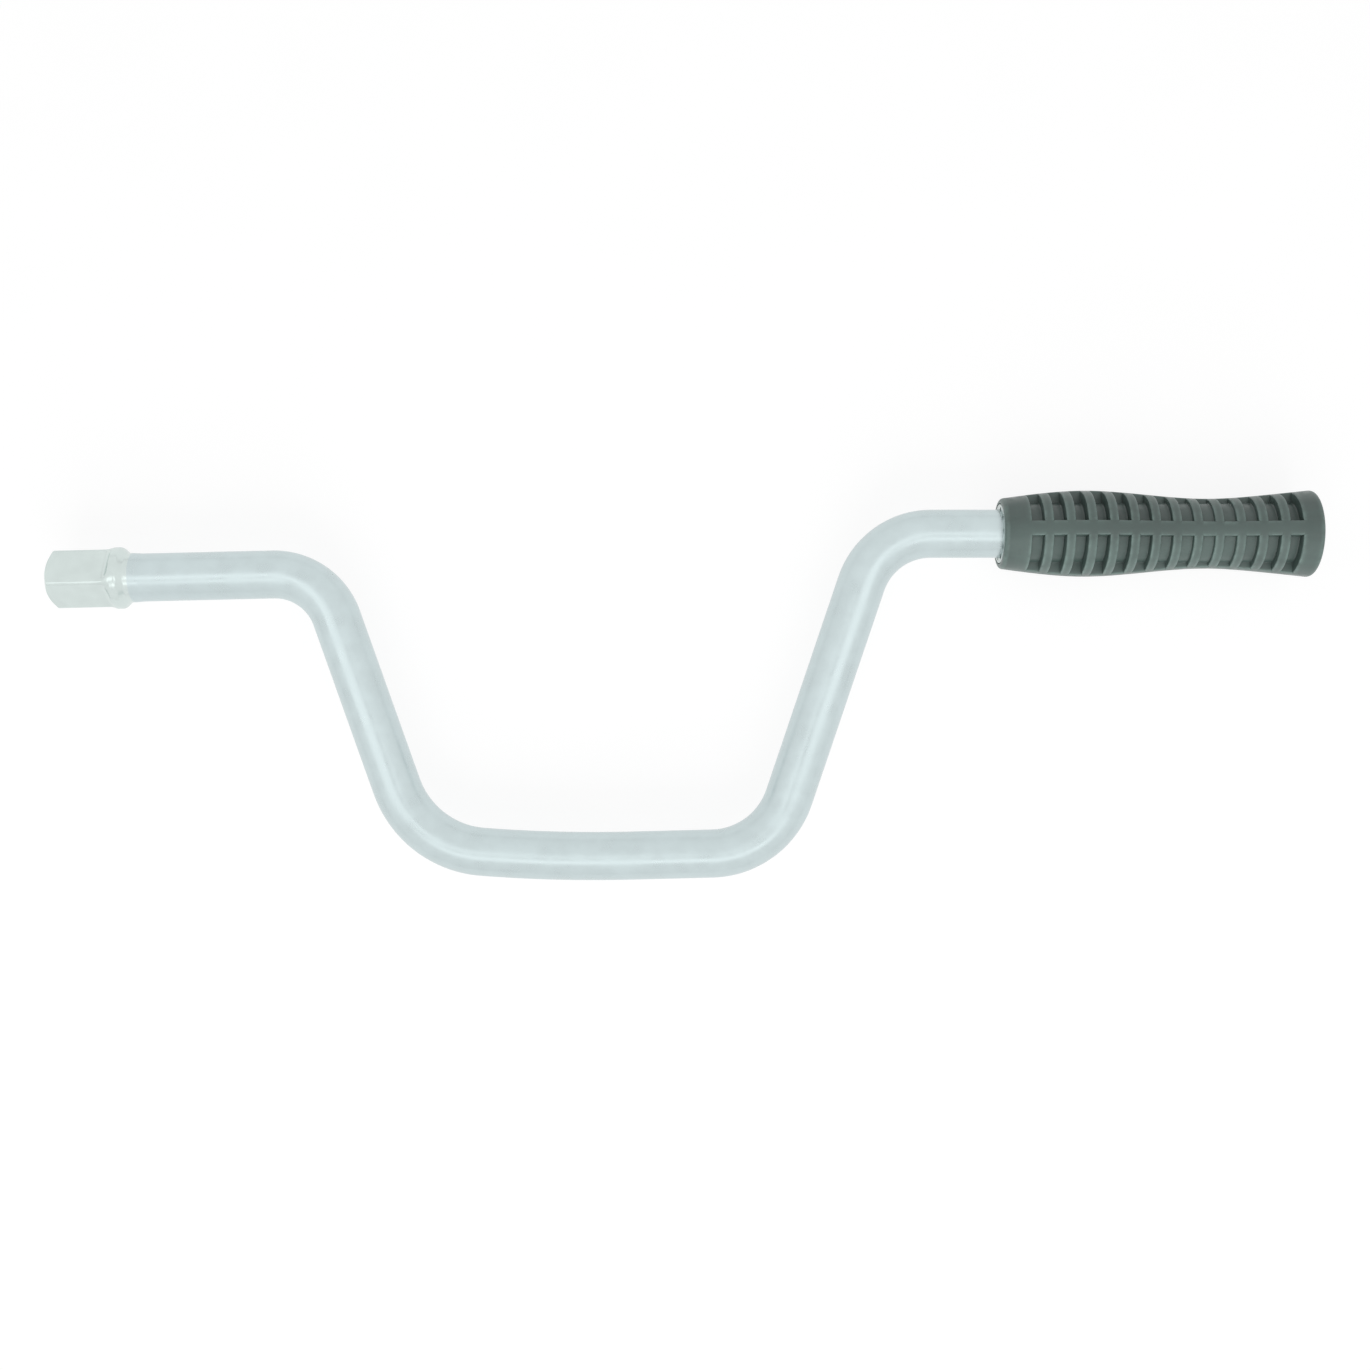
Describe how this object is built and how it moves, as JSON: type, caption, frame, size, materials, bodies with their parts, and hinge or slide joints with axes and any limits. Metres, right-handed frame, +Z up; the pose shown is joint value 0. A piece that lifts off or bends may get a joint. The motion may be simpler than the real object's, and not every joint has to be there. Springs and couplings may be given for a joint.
{
  "type": "crank handle",
  "caption": "Bent-bar crank handle with a square drive, a collar and a free-turning ribbed grip, for spinning sockets quickly.",
  "frame": {"origin": "on the drive axis, at the collar face that meets a socket", "axes": "+X along the drive axis from the square towards the grip; the bent bar lies in the XY plane with its throw towards -Y; +Z is up when the crank lies flat"},
  "size_m": [0.3678, 0.1106, 0.0252],
  "materials": {
    "bar_steel": "satin chrome on the bar, bright chrome on the drive head",
    "ball_steel": "polished",
    "spring_steel": "oiled spring steel",
    "grip_plastic": "moulded, semi-matt",
    "ring_steel": "zinc plated",
    "washer_steel": "plain",
    "plug_plastic": "moulded, semi-matt"
  },
  "bodies": {
    "crank": {"crank_bar": "bar_steel", "front_retaining_ring": "ring_steel", "thrust_washer": "washer_steel", "retaining_clip": "spring_steel", "detent_spring": "spring_steel"},
    "turning_grip": {"grip": "grip_plastic", "end_plug": "plug_plastic"},
    "ball": {"detent_ball": "ball_steel"}
  },
  "joints": [
    {"name": "grip_spin", "type": "hinge", "parent": "crank", "child": "turning_grip", "pos_m": [0.25909, 0.00696, 0], "axis": [0.9997, -0.0232, 0], "continuous": true},
    {"name": "detent_press", "type": "slide", "parent": "crank", "child": "ball", "axis": [0, 0.5736, 0.8192], "range_m": [0, 0.00085], "stiffness_N_per_m": 1500, "springref_m": -0.0006}
  ]
}
